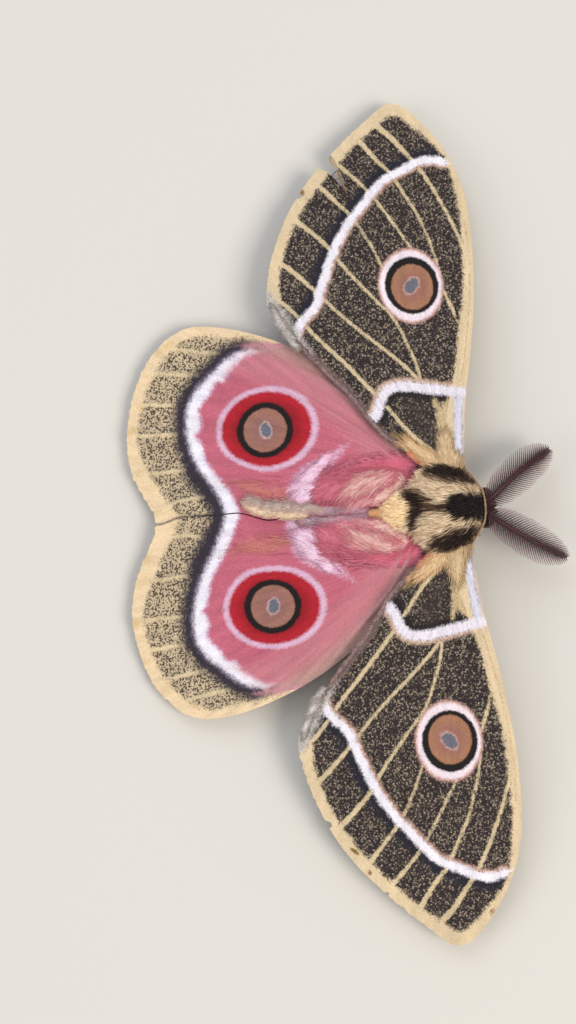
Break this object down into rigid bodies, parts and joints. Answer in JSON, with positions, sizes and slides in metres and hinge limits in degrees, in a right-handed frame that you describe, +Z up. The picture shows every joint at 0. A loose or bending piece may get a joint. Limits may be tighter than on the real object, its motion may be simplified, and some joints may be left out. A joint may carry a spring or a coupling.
{
  "type": "emperor moth",
  "caption": "Still, life-size male emperor moth resting with its wings spread, feathered antennae in front, to be set on a floor or table.",
  "frame": {"origin": "centre of the moth's outline seen from above, on the floor that its feet stand on", "axes": "head towards -Y, the moth's own left wings towards +X, +Z up"},
  "size_m": [0.1416, 0.0731, 0.0135],
  "materials": {
    "thorax_fur": "dense cream and golden hair with a blackish mark",
    "head_fur": "short dark maroon hair",
    "compound_eye": "smooth dark compound eye",
    "antenna_cuticle": "dark maroon feathered antenna",
    "abdomen_fur": "orange brown hair",
    "forewing_scales": "powdery blackish brown scales speckled with cream",
    "hindwing_scales": "powdery rose pink scales",
    "leg_fur": "reddish brown hair"
  },
  "bodies": {
    "root": {"thorax": "thorax_fur", "head": "head_fur", "eye_left": "compound_eye", "eye_right": "compound_eye", "antenna_left": "antenna_cuticle", "antenna_right": "antenna_cuticle", "abdomen": "abdomen_fur", "forewing_left": "forewing_scales", "forewing_right": "forewing_scales", "hindwing_left": "hindwing_scales", "hindwing_right": "hindwing_scales", "leg_front_left": "leg_fur", "leg_middle_left": "leg_fur", "leg_hind_left": "leg_fur", "leg_front_right": "leg_fur", "leg_middle_right": "leg_fur", "leg_hind_right": "leg_fur"}
  },
  "joints": []
}
